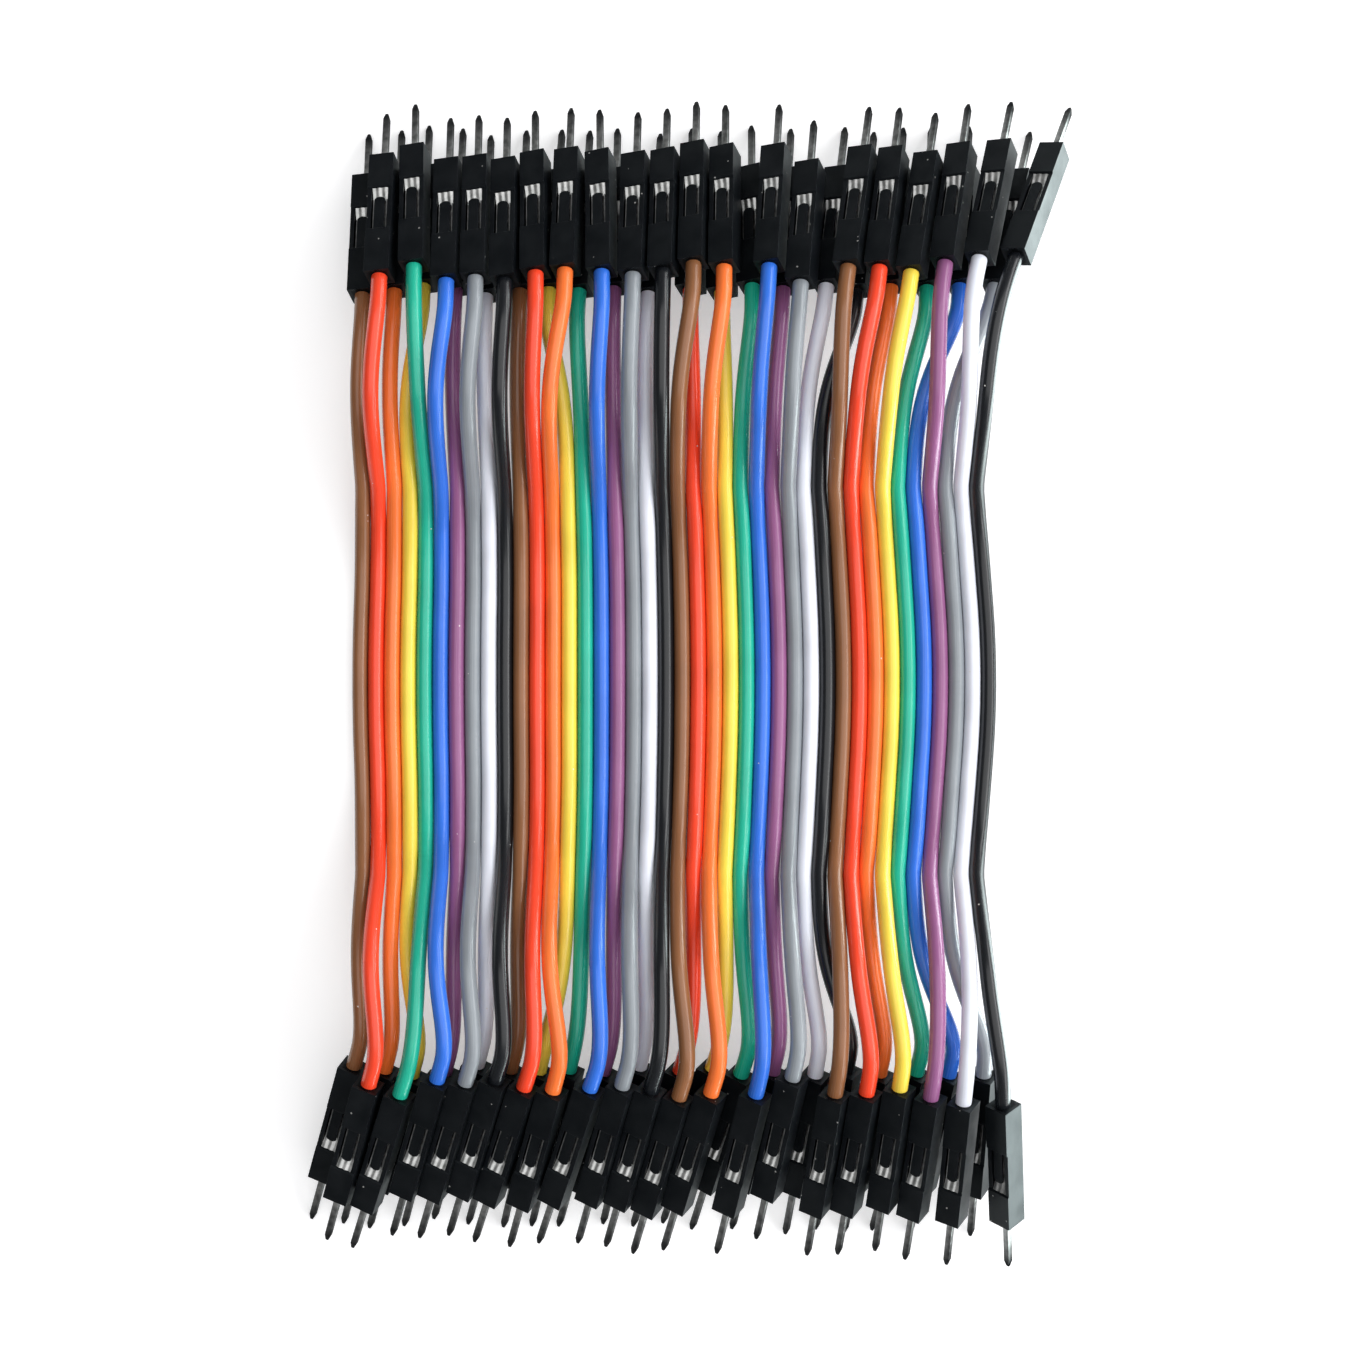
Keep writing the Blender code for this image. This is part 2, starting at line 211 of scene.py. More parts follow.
# Least angle between faces: shaded as an edge, or bevelled
SHEET_SHARP = math.radians(32)
WIRE_SHARP = math.radians(50)
HOUSING_SHARP = math.radians(5)
HOUSING_BEVELLED = math.radians(30)
PIN_BEVELLED = math.radians(40)

# Round section of every bevel
BEVEL_PROFILE = 0.5

# Least share of a face's normal along an axis for the face to lie across it
SQUARE_ON = 0.9

# Insulation
INSULATION_TONES = (0.92, 1.06)
INSULATION_ROUGHNESS = (0.21, 0.29)
INSULATION_IOR = 1.52
INSULATION_RELIEF = {"Strength": 0.35, "Distance": 0.02 * MM}
INSULATION_DUST = {
    "Dust Colour": (0.75, 0.74, 0.70, 1.0),
    "Cells per Metre": 1100.0,
    "Speck Size": 0.08,
    "Share of Cells": 0.03,
}
STREAK_TONE_PER_METRE = 160.0

# Housing plastic
PLASTIC_TONES = ((0.0022, 0.0029, 0.0041, 1.0), (0.0046, 0.0054, 0.0068, 1.0))
PLASTIC_ROUGHNESS = (0.36, 0.46)
PLASTIC_SPECULAR = 0.18
PLASTIC_SPECULAR_TINT = (0.84, 0.96, 1.0, 1.0)
PLASTIC_RELIEF = {"Strength": 0.25, "Distance": 0.02 * MM}
PLASTIC_GRAIN = {"Grain per Metre": 14000.0, "Tone per Metre": 420.0}
PLASTIC_DUST = {
    "Dust Colour": (0.34, 0.34, 0.33, 1.0),
    "Cells per Metre": 1500.0,
    "Speck Size": 0.13,
    "Share of Cells": 0.05,
}

# Tin plate: a bright tone, and a dark tone that paints shade on the open pin and, in part, behind the
# window
BRIGHT_TONES = ((0.44, 0.45, 0.44, 1.0), (0.74, 0.74, 0.73, 1.0))
PAINTED_SHADE_TONES = ((0.026, 0.027, 0.029, 1.0), (0.050, 0.050, 0.050, 1.0))
TIN_ROUGHNESS = (0.34, 0.46)
TIN_SPECULAR_TINT = (0.30, 0.30, 0.30, 1.0)
TIN_RELIEF = {"Strength": 0.3, "Distance": 0.01 * MM}
TIN_GRAIN = {"Grain per Metre": 11000.0, "Tone per Metre": 1500.0}

# Noise: how far and how finely it shifts the specks of dust, and its middle range, which is
# spread out to give a tone
SPECK_WOBBLE = 0.12 * MM
WOBBLE_PER_METRE = 6000.0
NOISE_RANGE = (0.35, 0.65)

# Camera, straight above the ribbon
CAMERA_PLACE = Vector((0.46, 0.08, 230.8)) * MM
CAMERA_LENS = 58.75
CAMERA_SENSOR = 36.0
CAMERA_CLIP = 10 * MM

# Floor: its shadow is lifted where it is seen or mirrored, and it glows to the right of the
# ribbon, most where a side face mirrors it
FLOOR_HALF_SIDE = 1.5
FLOOR_COLOUR = (0.86, 0.86, 0.87, 1.0)
FLOOR_ROUGHNESS = 0.9
FLOOR_SPECULAR = 0.1
SHADOW_LIFT = 0.40
GLOW_START = 41 * MM
GLOW_FULL = 50 * MM
GLOW_LEVEL = 4.0
GLOW_SHINE = 6.0
GLOW_TINT = (0.86, 1.0, 0.99, 1.0)

# Light: the dome's strength rises with its direction's X, and the lamps aim at the middle
DOME_TURN = (-0.2, 0.8)
DOME_STRENGTH = (0.18, 0.62)
WHITE = (1.0, 1.0, 1.0, 1.0)
KEY_LIGHT = {"place": (0.32, 0.02, 0.20), "size": (0.90, 0.12), "energy": 1.55}
OVERHEAD_LIGHT = {"place": (0.08, 0.0, 0.46), "size": (0.70, 0.70), "energy": 2.00}


# Layout: the same places and routes as in the part


def roll_angle(number, end):
    if number == WIRE_COUNT:
        return ROLL_OUTERMOST_TOP if end > 0 else ROLL_OUTERMOST_BOTTOM
    share = (number - 1) / (WIRE_COUNT - 1)
    return ROLL_FIRST + (ROLL_LAST - ROLL_FIRST) * share


def footprint(number, end):
    """Room that one rolled housing takes across its row."""
    return housing_width / (math.cos(roll_angle(number, end)) * math.cos(SWEEP_ALLOWANCE))


def row_places(row, gap_column, middle, end):
    """Places across the ribbon of the housings of a row, laid side by side from the left."""
    numbers = list(row)
    places = [0.0]
    for before, number in zip(numbers, numbers[1:]):
        room = (footprint(before, end) + footprint(number, end)) / 2
        step = room + row[number][gap_column] * MM
        places.append(places[-1] + step)
    offset = middle - places[-1] / 2
    return {number: place + offset for number, place in zip(numbers, places)}


def corner_height(width, roll):
    """How far the lowest corner of a rolled square bar lies below its middle."""
    return width / 2 * (math.cos(roll) + math.sin(roll))


def lower_nose_height(number, end):
    """Height of a lower housing's nose when its pin's tip touches the floor."""
    tip = corner_height(PIN_WIDTH, roll_angle(number, end)) * math.cos(NOSE_DOWN)
    return PIN_LENGTH * math.sin(NOSE_DOWN) + tip


def row_rise(number, end):
    """How much higher an upper housing lies than a lower one at the same place in its row."""
    stack = 2 * corner_height(housing_width, roll_angle(number, end)) + ROW_GAP
    return stack / math.cos(NOSE_DOWN) - ROW_STAGGER * math.tan(NOSE_DOWN)


def housing_matrix(tail, forward, roll):
    across = forward.cross(Vector((0, 0, 1))).normalized()
    if across.x < 0:
        across.negate()
    upward = across.cross(forward)
    if upward.z < 0:
        upward.negate()
    latch = upward * math.cos(roll) - across * math.sin(roll)
    side = forward.cross(latch)
    matrix = Matrix((side, forward, latch)).transposed().to_4x4()
    matrix.translation = tail
    return matrix


def housing_places(row, upper, tails, noses, end):
    """Matrix of each housing of a row: origin at its wire end, +Y to the nose, +Z the latch."""
    shift_tail = BOTTOM_TAIL_SHIFT if end < 0 else 0.0
    shift_nose = BOTTOM_NOSE_SHIFT if end < 0 else 0.0
    tail_places = row_places(row, 0, tails + shift_tail, end)
    nose_places = row_places(row, 1, noses + shift_nose, end)
    run = HOUSING_LENGTH * math.cos(NOSE_DOWN)
    drop = HOUSING_LENGTH * math.sin(NOSE_DOWN)
    distance = EXIT_DISTANCE - (0.0 if upper else ROW_STAGGER)
    matrices = {}
    for number, (_, _, reach_mm) in row.items():
        height = lower_nose_height(number, end) + drop
        height += row_rise(number, end) if upper else 0.0
        lean = nose_places[number] - tail_places[number]
        forward = Vector((lean, end * math.sqrt(run ** 2 - lean ** 2), -drop)).normalized()
        slide = forward * (reach_mm * MM / abs(forward.y))
        if not upper:
            slide.z = 0.0
        tail = Vector((tail_places[number], end * distance, height))
        matrices[number] = housing_matrix(tail + slide, forward, roll_angle(number, end))
    return matrices


def end_places(end):
    places = housing_places(UPPER_ROW, True, UPPER_TAILS, UPPER_NOSES, end)
    places.update(housing_places(LOWER_ROW, False, LOWER_TAILS, LOWER_NOSES, end))
    return places


def frame_shift(matrix):
    """Offset from the layout to the frame, from where the frame has the last top housing."""
    half = housing_width / 2
    corners = [matrix @ Vector((x, y, z)) for x in (-half, half) for z in (-half, half)
               for y in (0.0, HOUSING_LENGTH)]
    low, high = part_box(f"housing_{WIRE_COUNT:02d}_top")
    own = [min(c[axis] for c in corners) + max(c[axis] for c in corners) for axis in range(3)]
    return (low + high - Vector(own)) / 2


def ease(share, height, end_slope, power):
    """Curve that leaves zero level and ends at a height with a given slope.

    The higher its power, the later it rises.
    """
    early = share ** power
    late = share ** (power + 1)
    return height * ((power + 1) * early - power * late) + end_slope * (late - early)


def half_route(number, matrix, end):
    """Centre line of one wire, from the middle of the ribbon to its end inside the housing."""
    forward = matrix.to_3x3() @ Vector((0, 1, 0))
    leave = matrix.translation - forward * STRAIGHT_EXIT
    split = BONDED_LENGTH / 2
    reach = abs(leave.y)
    place = (number - (WIRE_COUNT + 1) / 2) * ribbon_pitch + WAIST_SHIFT
    extra = row_rise(number, end) if number in UPPER_ROW else 0.0
    side_slope = forward.x / abs(forward.y)
    down_slope = forward.z / abs(forward.y)

    def route(distance):
        bow = max(0.0, 1 - (distance / split) ** 2)
        across = place * (1 + MIDDLE_SPREAD * bow) + MIDDLE_SHIFT * bow
        if distance > split:
            free = reach - split
            share = (distance - split) / free
            across += ease(share, leave.x - place, side_slope * free, SWING_POWER)
        height = wire_radius
        if distance > LIFT_START:
            run = reach - LIFT_START
            common = leave.z - wire_radius - extra
            share = (distance - LIFT_START) / run
            height += ease(share, common, down_slope * run, RISE_POWER)
        if distance > ROWS_PART:
            share = min(1.0, (distance - ROWS_PART) / (ROWS_CLEAR - ROWS_PART))
            height += ease(share, extra, 0.0, RISE_POWER)
        return Vector((across, end * distance, height))

    count = round(reach / PATH_STEP)
    points = [route(reach * k / count) for k in range(1, count + 1)]
    last_run = forward * (STRAIGHT_EXIT + WIRE_INSERT) / EXIT_STEPS
    points += [leave + last_run * k for k in range(1, EXIT_STEPS + 1)]
    return route(0.0), points


def wire_route(number, top, bottom, shift):
    middle, towards_top = half_route(number, top, 1)
    _, towards_bottom = half_route(number, bottom, -1)
    return [point + shift for point in towards_bottom[::-1] + [middle] + towards_top]


# Camera


def make_camera(shift):
    """Straight above the ribbon, with the ends called top at the top of the picture."""
    data = bpy.data.cameras.new("camera")
    data.lens = CAMERA_LENS
    data.sensor_width = CAMERA_SENSOR
    data.clip_start = CAMERA_CLIP
    camera = bpy.data.objects.new("camera", data)
    camera.location = CAMERA_PLACE + shift
    bpy.context.scene.collection.objects.link(camera)
    bpy.context.scene.camera = camera


# Shader groups


def add_node(tree, kind, values=None, **settings):
    """A node with its settings, and its inputs given as values or as sockets to link from."""
    item = tree.nodes.new(kind)
    for name, value in settings.items():
        setattr(item, name, value)
    for name, value in (values or {}).items():
        if isinstance(value, bpy.types.NodeSocket):
            tree.links.new(value, item.inputs[name])
        else:
            item.inputs[name].default_value = value
    return item


def new_group(name, inputs, outputs):
    """An empty shader group: its tree, its inputs' sockets and its output node."""
    group = bpy.data.node_groups.new(name, "ShaderNodeTree")
    for label, kind, value in inputs:
        socket = group.interface.new_socket(name=label, in_out="INPUT", socket_type=kind)
        socket.default_value = value
    for label, kind in outputs:
        group.interface.new_socket(name=label, in_out="OUTPUT", socket_type=kind)
    return group, group.nodes.new("NodeGroupInput").outputs, group.nodes.new("NodeGroupOutput")


def math_node(tree, operation, first, second):
    return add_node(tree, "ShaderNodeMath", {0: first, 1: second}, operation=operation).outputs[0]


def vector_node(tree, operation, first, second):
    return add_node(tree, "ShaderNodeVectorMath", {0: first, 1: second}, operation=operation).outputs[0]


def mix_colour(tree, factor, first, second):
    node = add_node(tree, "ShaderNodeMix", data_type="RGBA")
    for name, value in (("Factor_Float", factor), ("A_Color", first), ("B_Color", second)):
        socket = next(item for item in node.inputs if item.identifier == name)
        if isinstance(value, bpy.types.NodeSocket):
            tree.links.new(value, socket)
        else:
            socket.default_value = value
    return next(item for item in node.outputs if item.identifier == "Result_Color")


def dust_group():
    """Sparse pale specks that lie on a surface."""
    group, given, result = new_group(
        "dust specks",
        [
            ("Colour", "NodeSocketColor", (0.5, 0.5, 0.5, 1.0)),
            ("Dust Colour", "NodeSocketColor", (0.6, 0.6, 0.58, 1.0)),
            ("Cells per Metre", "NodeSocketFloat", 1400.0),
            ("Speck Size", "NodeSocketFloat", 0.12),
            ("Share of Cells", "NodeSocketFloat", 0.06),
        ],
        [("Colour", "NodeSocketColor")],
    )
    place = add_node(group, "ShaderNodeTexCoord").outputs["Object"]
    wobble = add_node(group, "ShaderNodeTexNoise", {"Vector": place, "Scale": WOBBLE_PER_METRE})
    warp = vector_node(group, "MULTIPLY", wobble.outputs["Color"], (SPECK_WOBBLE,) * 3)
    moved = vector_node(group, "ADD", place, warp)
    cells = add_node(group, "ShaderNodeTexVoronoi",
                     {"Vector": moved, "Scale": given["Cells per Metre"]})
    near = math_node(group, "LESS_THAN", cells.outputs["Distance"], given["Speck Size"])
    chance = add_node(group, "ShaderNodeSeparateColor", {"Color": cells.outputs["Color"]}).outputs[0]
    chosen = math_node(group, "LESS_THAN", chance, given["Share of Cells"])
    mask = math_node(group, "MULTIPLY", near, chosen)
    dusted = mix_colour(group, mask, given["Colour"], given["Dust Colour"])
    group.links.new(dusted, result.inputs["Colour"])
    return group


def grain_group():
    """Fine moulded or rolled grain, with a broad uneven tone over it."""
    group, given, result = new_group(
        "surface grain",
        [("Grain per Metre", "NodeSocketFloat", 9000.0), ("Tone per Metre", "NodeSocketFloat", 500.0)],
        [("Height", "NodeSocketFloat"), ("Tone", "NodeSocketFloat")],
    )
    place = add_node(group, "ShaderNodeTexCoord").outputs["Object"]
    fine = add_node(group, "ShaderNodeTexNoise",
                    {"Vector": place, "Scale": given["Grain per Metre"], "Detail": 2.0})
    broad = add_node(group, "ShaderNodeTexNoise",
                     {"Vector": place, "Scale": given["Tone per Metre"], "Detail": 3.0})
    group.links.new(fine.outputs["Fac"], result.inputs["Height"])
    group.links.new(broad.outputs["Fac"], result.inputs["Tone"])
    return group


def streak_group():
    """Faint streaks that extrusion leaves along a wire, from the map that runs along it."""
    group, given, result = new_group(
        "extrusion streaks",
        [("Around", "NodeSocketFloat", 26.0), ("Along", "NodeSocketFloat", 5.0)],
        [("Height", "NodeSocketFloat"), ("Tone", "NodeSocketFloat")],
    )
    along = add_node(group, "ShaderNodeUVMap", uv_map="along").outputs["UV"]
    scale = add_node(group, "ShaderNodeCombineXYZ", {"X": given["Along"], "Y": given["Around"]})
    drawn = vector_node(group, "MULTIPLY", along, scale.outputs["Vector"])
    fine = add_node(group, "ShaderNodeTexNoise", {"Vector": drawn, "Scale": 1.0, "Detail": 3.0})
    place = add_node(group, "ShaderNodeTexCoord").outputs["Object"]
    broad = add_node(group, "ShaderNodeTexNoise",
                     {"Vector": place, "Scale": STREAK_TONE_PER_METRE, "Detail": 2.0})
    group.links.new(fine.outputs["Fac"], result.inputs["Height"])
    group.links.new(broad.outputs["Fac"], result.inputs["Tone"])
    return group


def new_material(name):
    material = bpy.data.materials.new(name)
    material.use_nodes = True
    return material, material.node_tree, material.node_tree.nodes["Principled BSDF"]


def use_group(tree, group, values=None):
    """A shader group placed in a material with its own values."""
    return add_node(tree, "ShaderNodeGroup", values, node_tree=group)


def map_range(tree, value, before, after):
    """A value moved from one range to another, each given by its two ends."""
    return add_node(tree, "ShaderNodeMapRange", {
        "Value": value, "From Min": before[0], "From Max": before[1],
        "To Min": after[0], "To Max": after[1],
    }).outputs["Result"]


def spread(tree, factor, limits):
    """A noise's middle values spread over a range."""
    return map_range(tree, factor, NOISE_RANGE, limits)


def relief(tree, shader, height, amount):
    """Fine bumps from a height, as strong and as deep as the amount says."""
    bump = add_node(tree, "ShaderNodeBump", {"Height": height, **amount})
    tree.links.new(bump.outputs["Normal"], shader.inputs["Normal"])


def shade(colour, amount):
    return (*(channel * amount for channel in colour), 1.0)


def insulation(name, colour, groups):
    """Glossy extruded insulation."""
    material, tree, shader = new_material(f"insulation {name}")
    streaks = use_group(tree, groups["streaks"])
    tone = spread(tree, streaks.outputs["Tone"], (0.0, 1.0))
    darker, lighter = [shade(colour, amount) for amount in INSULATION_TONES]
    base = mix_colour(tree, tone, darker, lighter)
    dust = use_group(tree, groups["dust"], {"Colour": base, **INSULATION_DUST})
    gloss = spread(tree, streaks.outputs["Height"], INSULATION_ROUGHNESS)
    tree.links.new(dust.outputs["Colour"], shader.inputs["Base Color"])
    tree.links.new(gloss, shader.inputs["Roughness"])
    relief(tree, shader, streaks.outputs["Height"], INSULATION_RELIEF)
    shader.inputs["IOR"].default_value = INSULATION_IOR
    return material


def housing_plastic(groups):
    """Satin black moulding with a fine grain and dust."""
    material, tree, shader = new_material("housing plastic")
    grain = use_group(tree, groups["grain"], PLASTIC_GRAIN)
    tone = spread(tree, grain.outputs["Tone"], (0.0, 1.0))
    base = mix_colour(tree, tone, *PLASTIC_TONES)
    dust = use_group(tree, groups["dust"], {"Colour": base, **PLASTIC_DUST})
    gloss = spread(tree, grain.outputs["Tone"], PLASTIC_ROUGHNESS)
    tree.links.new(dust.outputs["Colour"], shader.inputs["Base Color"])
    tree.links.new(gloss, shader.inputs["Roughness"])
    relief(tree, shader, grain.outputs["Height"], PLASTIC_RELIEF)
    shader.inputs["Specular IOR Level"].default_value = PLASTIC_SPECULAR
    shader.inputs["Specular Tint"].default_value = PLASTIC_SPECULAR_TINT
    return material


def tin_plate(groups):
    """Tin-plated terminal, bright in the window, with painted shade: darker behind the window and dark on
    the open pin.
    """
    material, tree, shader = new_material("tin plate")
    grain = use_group(tree, groups["grain"], TIN_GRAIN)
    # Painted shade: the share of the dark tone at each point
    shade_share = add_node(tree, "ShaderNodeAttribute", attribute_name="painted_shade").outputs["Fac"]
    tone = spread(tree, grain.outputs["Tone"], (0.0, 1.0))
    bright = mix_colour(tree, tone, *BRIGHT_TONES)
    # Dark tone of painted shade for the pin and, in part, behind the window
    shaded_tin = mix_colour(tree, tone, *PAINTED_SHADE_TONES)
    gloss = spread(tree, grain.outputs["Tone"], TIN_ROUGHNESS)
    tree.links.new(mix_colour(tree, shade_share, bright, shaded_tin), shader.inputs["Base Color"])
    tree.links.new(gloss, shader.inputs["Roughness"])
    relief(tree, shader, grain.outputs["Height"], TIN_RELIEF)
    shader.inputs["Metallic"].default_value = 1.0
    shader.inputs["Specular Tint"].default_value = TIN_SPECULAR_TINT
    return material


# Pieces


def finished_mesh(shape, name, sharp_angle):
    """The shape as a smooth-shaded mesh with its sharp edges kept."""
    mesh = bpy.data.meshes.new(name)
    shape.to_mesh(mesh)
    shape.free()
    mesh.shade_smooth()
    mesh.set_sharp_from_angle(angle=sharp_angle)
    return mesh


def add_piece(name, mesh, material, node, matrix=None):
    """A piece of the object, in place, riding on the part and standing for its node."""
    own = mesh.copy() if matrix else mesh
    if matrix:
        own.transform(matrix)
    own.name = name
    own.materials.clear()
    own.materials.append(material)
    piece = bpy.data.objects.new(name, own)
    bpy.context.scene.collection.objects.link(piece)
    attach(piece, BODY)
    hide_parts(node)
    return piece


def open_edges(shape):
    return [edge for edge in shape.edges if edge.is_boundary]


def bond_reach(number, side, distance, spacing):
    """How far the insulation reaches towards the neighbour on one side of a wire."""
    edge = 1 if side < 0 else WIRE_COUNT
    if number == edge:
        return wire_radius
    bonded = spacing / 2 + BOND_OVERLAP
    torn = wire_radius + TORN_RIDGE
    share = min(1.0, max(0.0, (distance - ROWS_PART) / TEAR_FADE))
    return bonded + (torn - bonded) * share


def wire_mesh(name, number, path, shift):
    """Round insulation along its path, with the thin web that joins it to its neighbours."""
    shape = bmesh.new()
    shape.loops.layers.uv.new("along")
    last = len(path) - 1
    bmesh.ops.create_grid(shape, x_segments=last, y_segments=WIRE_SIDES, size=0.5, calc_uvs=True)
    rings = []
    for k, centre in enumerate(path):
        run = (path[min(k + 1, last)] - path[max(k - 1, 0)]).normalized()
        side = run.cross(Vector((0, 0, 1))).normalized()
        distance = abs(centre.y - shift.y)
        bow = max(0.0, 1 - (2 * distance / BONDED_LENGTH) ** 2)
        spacing = ribbon_pitch * (1 + MIDDLE_SPREAD * bow)
        reaches = [bond_reach(number, sign, distance, spacing) for sign in (1, -1)]
        rings.append((centre, side, side.cross(run), reaches))
    for vert in shape.verts:
        centre, side, upward, reaches = rings[round((vert.co.x + 0.5) * last)]
        step = round((vert.co.y + 0.5) * WIRE_SIDES) % WIRE_SIDES
        angle = math.tau * step / WIRE_SIDES
        radius = wire_radius
        if step % (WIRE_SIDES // 2) == 0:
            radius = reaches[step // (WIRE_SIDES // 2)]
        vert.co = centre + (side * math.cos(angle) + upward * math.sin(angle)) * radius
    bmesh.ops.remove_doubles(shape, verts=shape.verts, dist=TOUCH)
    bmesh.ops.holes_fill(shape, edges=open_edges(shape))
    bmesh.ops.recalc_face_normals(shape, faces=shape.faces)
    return finished_mesh(shape, name, WIRE_SHARP)


def add_block(shape, width, start, end):
    """A square bar along Y."""
    made = bmesh.ops.create_cube(shape, size=1.0)["verts"]
    bmesh.ops.scale(shape, vec=(width, end - start, width), verts=made)
    bmesh.ops.translate(shape, vec=(0, (start + end) / 2, 0), verts=made)
    return made


def cut_across(shape, axis, places):
    """Cut all faces by planes across one axis."""
    normal = Vector((0, 0, 0))
    normal[axis] = 1.0
    for place in places:
        geom = shape.verts[:] + shape.edges[:] + shape.faces[:]
        bmesh.ops.bisect_plane(shape, geom=geom, dist=TOUCH / 10, plane_co=normal * place,
                               plane_no=normal)


def open_through(shape, chosen):
    """Delete the chosen faces of an outer and an inner skin and join the edges of the holes."""
    bmesh.ops.delete(shape, geom=[face for face in shape.faces if chosen(face)], context="FACES")
    bmesh.ops.bridge_loops(shape, edges=open_edges(shape))


def soften(shape, edges, width, segments):
    """Round the given edges over."""
    bmesh.ops.bevel(shape, geom=edges, offset=width, offset_type="OFFSET", segments=segments,
                    profile=BEVEL_PROFILE, affect="EDGES", material=-1, clamp_overlap=True)


def sharp_edges(shape, least):
    return [edge for edge in shape.edges if edge.is_manifold and edge.calc_face_angle() > least]


def housing_mesh():
    """Hollow moulding: wire entry, latch finger in its window, closed nose with the pin hole."""
    shape = bmesh.new()
    add_block(shape, housing_width, 0.0, HOUSING_LENGTH)
    add_block(shape, cavity_width, 0.0, cavity_end)
    slot_out = WINDOW_WIDTH / 2
    slot_in = LATCH_WIDTH / 2
    hole = PIN_WIDTH / 2 + PIN_HOLE_CLEARANCE
    rightward = (hole / 2, hole, slot_in, slot_out)
    cut_across(shape, 0, (*(-place for place in reversed(rightward)), 0.0, *rightward))
    cut_across(shape, 2, (-hole, hole))
    cut_across(shape, 1, (latch_start - RECESS_SLOPE, latch_start, window_start, window_end,
                          window_end + RECESS_SLOPE))

    def in_latch_opening(face):
        middle = face.calc_center_median()
        if abs(face.normal.z) < SQUARE_ON or middle.z < 0 or abs(middle.x) > slot_out:
            return False
        beside = abs(middle.x) > slot_in and middle.y > latch_start
        return middle.y < window_end and (beside or middle.y > window_start)

    def in_pin_hole(face):
        middle = face.calc_center_median()
        across = abs(face.normal.y) > SQUARE_ON and middle.y > window_end
        return across and max(abs(middle.x), abs(middle.z)) < hole

    open_through(shape, lambda face: abs(face.calc_center_median().y) < TOUCH)
    open_through(shape, in_latch_opening)
    open_through(shape, in_pin_hole)
    tongue_side = math.sqrt(TONGUE_ROUND ** 2 - slot_in ** 2)
    for vert in shape.verts:
        x, y, z = vert.co
        on_latch_side = z > cavity_width / 2 - TOUCH
        if on_latch_side and abs(y - window_start) < TOUCH and abs(x) < slot_in + TOUCH:
            vert.co.y += math.sqrt(TONGUE_ROUND ** 2 - x ** 2) - tongue_side
        if z > housing_width / 2 - TOUCH and latch_start - TOUCH < y < window_end + TOUCH:
            vert.co.z -= FACE_RECESS
    bmesh.ops.recalc_face_normals(shape, faces=shape.faces)
    soften(shape, sharp_edges(shape, HOUSING_BEVELLED), HOUSING_EDGE, segments=2)
    return finished_mesh(shape, "housing", HOUSING_SHARP)


def add_wings(shape):
    """Crimp wings rolled round the insulation, open at the top."""
    made = bmesh.ops.create_grid(shape, x_segments=WING_SIDES, y_segments=2, size=0.5)["verts"]
    radius = wire_radius + CRIMP_CLEARANCE + SHEET / 2
    for vert in made:
        angle = math.pi / 2 + WING_OPEN / 2 + (vert.co.x + 0.5) * (math.tau - WING_OPEN)
        along = WING_START + (vert.co.y + 0.5) * WING_LENGTH
        vert.co = Vector((radius * math.cos(angle), along, radius * math.sin(angle)))
    faces = list({face for vert in made for face in vert.link_faces})
    bmesh.ops.solidify(shape, geom=faces, thickness=SHEET)


def add_body(shape):
    """Folded body: a narrow neck, a ridged ramp that fills the window, and a box behind the nose."""
    half = WINDOW_WIDTH / 2 - RAMP_CLEARANCE
    low = -body_width / 2
    box_top = cavity_width / 2 - TERMINAL_CLEARANCE - PIN_EDGE
    foot = window_start + RAMP_CLEARANCE
    head = window_end - RAMP_CLEARANCE
    box_end = cavity_end - TERMINAL_CLEARANCE
    profile = ((foot, RAMP_FOOT), (head, RAMP_HEAD), (head, box_top), (box_end, box_top))
    last = len(profile) - 1
    body = bmesh.new()
    made = bmesh.ops.create_grid(body, x_segments=RIDGE_STEPS, y_segments=last, size=0.5)["verts"]
    for vert in made:
        along, height = profile[round((vert.co.y + 0.5) * last)]
        share = vert.co.x + 0.5
        ridge = RIDGE_HEIGHT * (math.cos(math.tau * RIDGES * share) - 1) / 2
        vert.co = Vector(((share * 2 - 1) * half, along, height + ridge))
    skirt = bmesh.ops.extrude_edge_only(body, edges=open_edges(body))["geom"]
    for item in skirt:
        if isinstance(item, bmesh.types.BMVert):
            item.co.z = low
    bmesh.ops.holes_fill(body, edges=open_edges(body))
    bmesh.ops.recalc_face_normals(body, faces=body.faces)
    join_in(shape, body)
    neck = bmesh.new()
    add_block(neck, NECK_WIDTH, NECK_START, foot + RAMP_CLEARANCE)
    bmesh.ops.translate(neck, vec=(0, 0, low + NECK_WIDTH / 2), verts=neck.verts)
    join_in(shape, neck)
    for side in (-1, 1):
        add_rail(shape, side * RAIL_MIDDLE, low, foot + RAMP_CLEARANCE)


def add_rail(shape, place, low, end):
    """Upright side wall of the folded body, seen as a line in the slot beside the latch."""
    rail = bmesh.new()
    add_block(rail, 1.0, latch_start - RAIL_WIDTH, end)
    bmesh.ops.scale(rail, vec=(RAIL_WIDTH, 1, RAIL_TOP - low), verts=rail.verts)
    bmesh.ops.translate(rail, vec=(place, 0, (RAIL_TOP + low) / 2), verts=rail.verts)
    soften(rail, rail.edges[:], RAIL_EDGE, segments=3)
    join_in(shape, rail)


